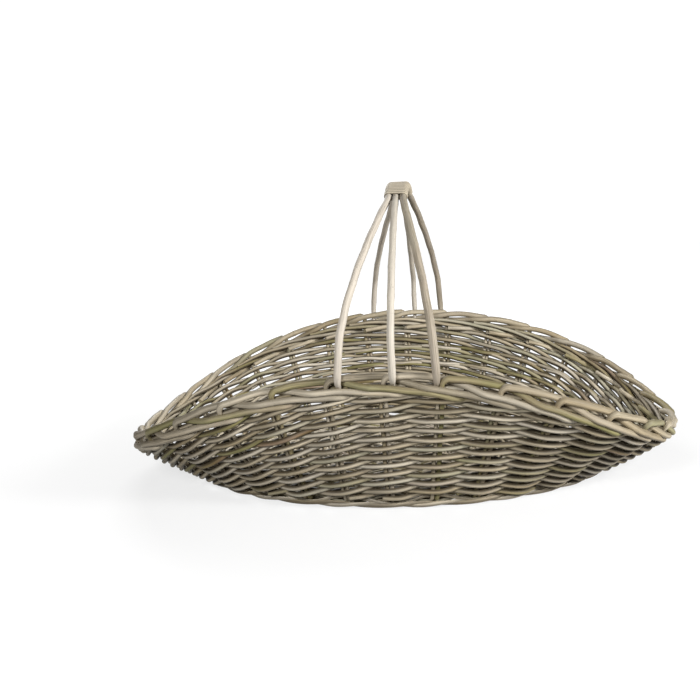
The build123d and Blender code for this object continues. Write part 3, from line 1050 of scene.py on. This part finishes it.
@dataclass
class Handle(SubAssembly):
    """Three rods over the basket, side by side in a grip bound with skein."""

    seed: int = 500
    skein_seed: int = 510
    rod_sides: int = 16
    rod_radius: float = 0.0042
    tip_share: float = 0.45
    tip_length: float = 0.03
    height: float = 0.356
    half_span: float = 0.244
    middle_x: float = 0.0105
    grip_spread: float = 0.009
    spread_power: float = 1.7
    shoulder_share: float = 0.3
    rise_power: float = 1.13
    grip_start_share: float = 0.93
    arch_start_share: float = 0.085
    arch_steps: int = 40
    foot_drops: tuple[float, float] = (0.022, 0.013)
    foot_offset: float = -0.0004
    clear_of_border: float = 0.00745
    beside_stub_share: float = 0.27
    beside_rod_share: float = 0.77
    # Name of each rod, and stakes from the middle of the front and of the back
    feet_shares: tuple[tuple[str, float, float], ...] = (
        ("left", -0.75, 0.8125), ("middle", 0.1875, -0.1875), ("right", 0.9375, -0.8125))
    skein_half: float = 0.0025
    skein_lift: float = 0.0003
    turns: int = 22
    turn_pitch: float = 0.0053
    turn_samples: int = 48
    grip_reach: float = 0.25
    grip_samples: int = 401

    def arch(self, turn: Array, side: float, front_x: float, back_x: float) -> Array:
        """Points of one rod's arch.

        Args:
            turn: angles over the arch, from the front (0) to the back (pi).
            side: the rod's number in the grip, 0 in the middle.
            front_x: where its front foot stands.
            back_x: where its back foot stands.

        Returns:
            The points.
        """
        rise = np.sin(turn) ** self.rise_power
        level = np.cos(turn)
        y = -self.half_span * level * (1 - self.shoulder_share * (1 - level ** 2))
        z = self.shape.side_height + (self.height - self.shape.side_height) * rise
        gathered = np.minimum(rise / self.grip_start_share, 1) ** self.spread_power
        grip_x = self.middle_x + side * self.grip_spread
        foot_x = np.where(turn < math.pi / 2, front_x, back_x)
        return np.stack([foot_x + (grip_x - foot_x) * gathered, y, z], axis=-1)

    def foot(self, stake: float) -> Array:
        """Points of a rod's lower end, driven down through the border.

        Args:
            stake: where it stands.

        Returns:
            The points, the lowest one first.
        """
        shape = self.shape
        share = self.beside_stub_share if stake % 1 < 0.5 else self.beside_rod_share
        top = self.clear_of_border - shape.border_offset * share
        drops = np.array([*self.foot_drops, shape.border_top_drop])
        outs = np.array([self.foot_offset, self.foot_offset, top])
        return shape.in_border(np.full(3, stake), drops, outs)

    def rod(self, side: int, front: float, back: float) -> None:
        """Adds one rod of the handle.

        Args:
            side: its number in the grip, 0 in the middle.
            front: stakes from the middle of the front to its foot there.
            back: stakes from the middle of the back to its foot there.
        """
        quarter = self.shape.stake_count // 4
        front_foot, back_foot = self.foot(3 * quarter + front), self.foot(quarter + back)[::-1]
        start = self.arch_start_share * math.pi
        turns = np.linspace(start, math.pi - start, self.arch_steps)
        arch = self.arch(turns, side, front_foot[-1, 0], back_foot[0, 0])
        path = smooth_line(np.vstack([front_foot, arch, back_foot]), self.pitch)
        distance = travelled(path)
        from_end = np.minimum(distance, distance[-1] - distance)
        sharpened = self.tip_share + (1 - self.tip_share) * ease(from_end / self.tip_length)
        self.grow(path, ACROSS, self.rod_radius * sharpened)

    def winding(self) -> None:
        """Adds the skein wound round the grip."""
        half_height = self.rod_radius + self.skein_lift
        count = self.turns * self.turn_samples + 1
        phase = np.linspace(0, self.turns, count)
        arc, flat = math.pi * half_height, 2 * self.grip_spread
        # One turn goes round the right side, over the top, round the left side and back below
        corners = np.cumsum([0, arc, flat, arc, flat])
        way = (phase % 1) * corners[-1]
        facing = np.interp(way, corners, np.array([-0.5, 0.5, 0.5, 1.5, 1.5]) * math.pi)
        across = np.interp(way, corners, np.array([1, 1, -1, -1, 1]) * self.grip_spread)
        across = across + half_height * np.cos(facing)
        out = half_height * np.sin(facing)
        middle, normal = self.grip_line(self.turns * self.turn_pitch * (phase / self.turns - 0.5))
        path = middle + ACROSS * across[:, None] + normal * out[:, None]
        outward = ACROSS * np.cos(facing)[:, None] + normal * np.sin(facing)[:, None]
        self.rods.sweep(path, outward, np.full(count, self.skein_half), Section.SKEIN)

    def grip_line(self, run: Array) -> tuple[Array, Array]:
        """Follows the grip.

        Args:
            run: distances along it from its top.

        Returns:
            Its middle there, and its upward normals.
        """
        turn = np.linspace(self.grip_reach * math.pi, (1 - self.grip_reach) * math.pi,
                           self.grip_samples)
        line = self.arch(turn, 0.0, self.middle_x, self.middle_x)
        distance = travelled(line)
        distance = distance - distance[-1] * 0.5
        normal = np.cross(ACROSS, unit(np.gradient(line, axis=0)))
        return read_off(run, distance, line), unit(read_off(run, distance, normal))

    def build(self) -> None:
        """Builds the handle."""
        for number, (name, front, back) in enumerate(self.feet_shares):
            self.begin(self.seed + number, self.rod_sides)
            self.rod(number - 1, front, back)
            self.settle("handle_willow_" + name, HANDLE_FINISH, "handle_rods", ["handle_rod_" + name])
        self.begin(self.skein_seed)
        self.winding()
        self.settle("grip_winding", SKEIN_FINISH, "handle_skein", ["handle_binding"])


@dataclass(frozen=True)
class Lamp:
    """A square lamp aimed at the trug, which the camera doesn't see."""

    name: str
    place: Point
    size: float
    power: float
    aim: Point = (0.0, 0.0, 0.12)

    def build(self) -> None:
        """Adds the lamp to the scene."""
        data = bpy.data.lights.new(self.name, "AREA")
        data.shape, data.size, data.energy = "SQUARE", self.size, self.power
        lamp = add_object(self.name, data)
        lamp.location = self.place
        ahead = Vector(self.aim) - Vector(self.place)
        lamp.rotation_euler = ahead.to_track_quat("-Z", "Y").to_euler()
        lamp.visible_camera = False


@dataclass
class Studio:
    """A white floor, soft lamps and the camera."""

    camera_place: Point = (0.09828, -1.28214, 0.39097)
    yaw: float = -7.10
    pitch: float = -10.64
    roll: float = -2.93
    lens: float = 51.91
    sensor: float = 36.0
    nearest: float = 0.05
    floor_size: float = 6.0
    floor_colour: Colour = (0.20, 0.20, 0.20)
    floor_roughness: float = 0.9
    glow: Colour = (0.74, 0.74, 0.74)
    glow_limits: Limits = (0.35, 1.1)
    ambient: float = 0.03
    backdrop: float = 1.1
    lamps: tuple[Lamp, ...] = (Lamp("key", (-0.32, -1.2, 0.68), 0.25, 11.0),
                               Lamp("side", (1.1, -0.6, 0.62), 0.35, 22.0),
                               Lamp("back", (-0.6, 1.4, 1.0), 0.8, 20.0))

    def floor(self) -> None:
        """Adds the floor, white to the camera but for the trug's own shadow."""
        mesh = bpy.data.meshes.new("floor")
        half = self.floor_size / 2
        corners = [(x * half, y * half, 0) for x, y in ((-1, -1), (1, -1), (1, 1), (-1, 1))]
        mesh.from_pydata(corners, [], [range(4)])
        material = bpy.data.materials.new("floor_white")
        graph = Graph(material)
        ray = graph.node("ShaderNodeLightPath", {}, {})
        place = graph.node("ShaderNodeTexCoord", {}, {}, "Object")
        distance = graph.node("ShaderNodeVectorMath", {"operation": "LENGTH"}, {0: place}, "Value")
        glow = graph.blend(graph.ramp(distance, self.glow_limits), self.glow, WHITE)
        surface = graph.node("ShaderNodeBsdfPrincipled", {}, {
            "Base Color": (*self.floor_colour, 1.0), "Roughness": self.floor_roughness,
            "Emission Color": graph.blend(ray["Is Glossy Ray"] + ray["Is Camera Ray"], BLACK, glow),
            "Emission Strength": 1.0})
        graph.node("ShaderNodeOutputMaterial", {}, {"Surface": surface})
        mesh.materials.append(material)
        floor = add_object("floor", mesh)

    def world(self) -> None:
        """Lights the scene softly all round, white where the camera looks past the floor."""
        world = bpy.data.worlds.new("studio")
        graph = Graph(world)
        seen = graph.node("ShaderNodeLightPath", {}, {}, "Is Camera Ray")
        background = graph.node("ShaderNodeBackground", {}, {
            "Color": (*WHITE, 1.0),
            "Strength": self.ambient + seen * (self.backdrop - self.ambient)})
        graph.node("ShaderNodeOutputWorld", {}, {"Surface": background})
        bpy.context.scene.world = world

    def camera(self) -> None:
        """Adds the camera at the photograph's viewing angle."""
        yaw, pitch, roll = (math.radians(a) for a in (self.yaw, self.pitch, self.roll))
        data = bpy.data.cameras.new("camera")
        data.lens, data.sensor_width, data.clip_start = self.lens, self.sensor, self.nearest
        data.dof.use_dof = False
        camera = add_object("camera", data)
        camera.matrix_world = (Matrix.Translation(self.camera_place) @ Matrix.Rotation(-yaw, 4, "Z")
                               @ Matrix.Rotation(math.pi / 2 + pitch, 4, "X")
                               @ Matrix.Rotation(roll, 4, "Z"))
        bpy.context.scene.camera = camera

    def build(self) -> None:
        """Builds the studio."""
        self.camera()
        self.floor()
        self.world()
        for lamp in self.lamps:
            lamp.build()
        bpy.context.scene.view_settings.view_transform = "Standard"


def main() -> None:
    """Builds the trug and its studio."""
    logging.basicConfig(level=logging.INFO, format="%(name)s %(message)s")
    Studio().build()
    shape = TrugShape()
    for part in (OvalBase, Stakes, SideWeave, Handle):
        part(shape).build()


if __name__ == "__main__":
    main()
